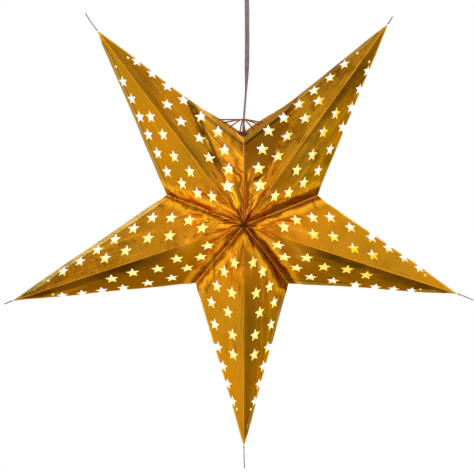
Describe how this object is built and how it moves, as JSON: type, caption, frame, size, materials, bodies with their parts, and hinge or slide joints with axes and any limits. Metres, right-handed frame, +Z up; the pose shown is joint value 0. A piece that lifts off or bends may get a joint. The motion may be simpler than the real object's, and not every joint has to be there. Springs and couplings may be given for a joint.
{
  "type": "paper star lantern",
  "caption": "Hanging paper star lantern with punched star holes, a wire frame in its mouth, a lamp holder with bulb, a flat cord and a ceiling rose.",
  "frame": {"origin": "middle of the ceiling rose's back face, on the ceiling", "axes": "+Z up out of the ceiling face, the star faces -Y, +X to the star's right as seen from the front"},
  "size_m": [0.643, 0.172, 0.743],
  "materials": {
    "gold_paper": "metallic gold foil face, white inner face",
    "frame_wire": "dark lacquered wire",
    "seam_tape": "double-sided tape",
    "dark_thread": "waxed thread",
    "cord_sheath": "translucent grey two-core cord",
    "core_insulation": "core insulation",
    "white_plastic": "moulded",
    "holder_plastic": "moulded",
    "rose_plastic": "moulded",
    "brass": "plain",
    "steel": "zinc plated",
    "bulb_metal": "rolled screw cap",
    "solder": "solder",
    "bulb_glass": "frosted warm white",
    "clear_glass": "clear",
    "filament": "tungsten wire"
  },
  "bodies": {
    "ceiling_rose": {"rose_base": "rose_plastic", "terminal_block": "white_plastic", "terminal_barrels": "brass", "terminal_screws": "steel", "cord_anchor": "white_plastic", "rose_cord": "cord_sheath", "rose_cores": "core_insulation"},
    "rose_cover": {"rose_cover": "rose_plastic"},
    "pendant": {"cord": "cord_sheath", "cord_clip": "white_plastic", "lamp_holder_cap": "holder_plastic", "lamp_holder_body": "holder_plastic", "holder_insulator": "white_plastic", "screw_shell": "brass", "centre_contact": "brass"},
    "shade_ring": {"shade_ring": "holder_plastic"},
    "star": {"upper_left_point_front_left_panel": "gold_paper", "upper_left_point_front_right_panel": "gold_paper", "upper_left_point_back_left_panel": "gold_paper", "upper_left_point_back_right_panel": "gold_paper", "upper_right_point_front_left_panel": "gold_paper", "upper_right_point_front_right_panel": "gold_paper", "upper_right_point_back_left_panel": "gold_paper", "upper_right_point_back_right_panel": "gold_paper", "right_point_front_upper_panel": "gold_paper", "right_point_front_lower_panel": "gold_paper", "right_point_back_upper_panel": "gold_paper", "right_point_back_lower_panel": "gold_paper", "bottom_point_front_right_panel": "gold_paper", "bottom_point_front_left_panel": "gold_paper", "bottom_point_back_right_panel": "gold_paper", "bottom_point_back_left_panel": "gold_paper", "left_point_front_lower_panel": "gold_paper", "left_point_front_upper_panel": "gold_paper", "left_point_back_lower_panel": "gold_paper", "left_point_back_upper_panel": "gold_paper", "upper_left_point_front_mouth_panel": "gold_paper", "upper_left_point_back_mouth_panel": "gold_paper", "upper_right_point_front_mouth_panel": "gold_paper", "upper_right_point_back_mouth_panel": "gold_paper", "front_closing_flaps": "gold_paper", "front_closing_tape": "seam_tape", "back_closing_flaps": "gold_paper", "back_closing_tape": "seam_tape", "tip_threads": "dark_thread", "frame_hub_ring": "frame_wire", "frame_lower_ring": "frame_wire", "frame_spoke_1": "frame_wire", "frame_spoke_2": "frame_wire", "frame_spoke_3": "frame_wire", "frame_spoke_4": "frame_wire", "frame_spoke_5": "frame_wire", "frame_spoke_6": "frame_wire", "frame_spoke_7": "frame_wire", "frame_spoke_8": "frame_wire"},
    "bulb": {"bulb_cap": "bulb_metal", "bulb_tip": "solder", "bulb_glass": "bulb_glass", "bulb_stem": "clear_glass", "bulb_filament": "filament"}
  },
  "joints": [
    {"name": "cover_turn", "type": "hinge", "parent": "ceiling_rose", "child": "rose_cover", "pos_m": [0, 0, -0.042], "axis": [0, 0, 1], "continuous": true},
    {"name": "lantern_swing", "type": "hinge", "parent": "ceiling_rose", "child": "pendant", "pos_m": [0, 0, -0.042], "axis": [1, 0, 0], "range_deg": [-30, 30]},
    {"name": "star_turn", "type": "hinge", "parent": "pendant", "child": "star", "pos_m": [0, 0, -0.4], "axis": [0, 0, 1], "continuous": true},
    {"name": "shade_ring_turn", "type": "hinge", "parent": "pendant", "child": "shade_ring", "pos_m": [0, 0, -0.3], "axis": [0, 0, 1], "continuous": true},
    {"name": "bulb_turn", "type": "hinge", "parent": "pendant", "child": "bulb", "pos_m": [0, 0, -0.31], "axis": [0, 0, 1], "continuous": true}
  ]
}
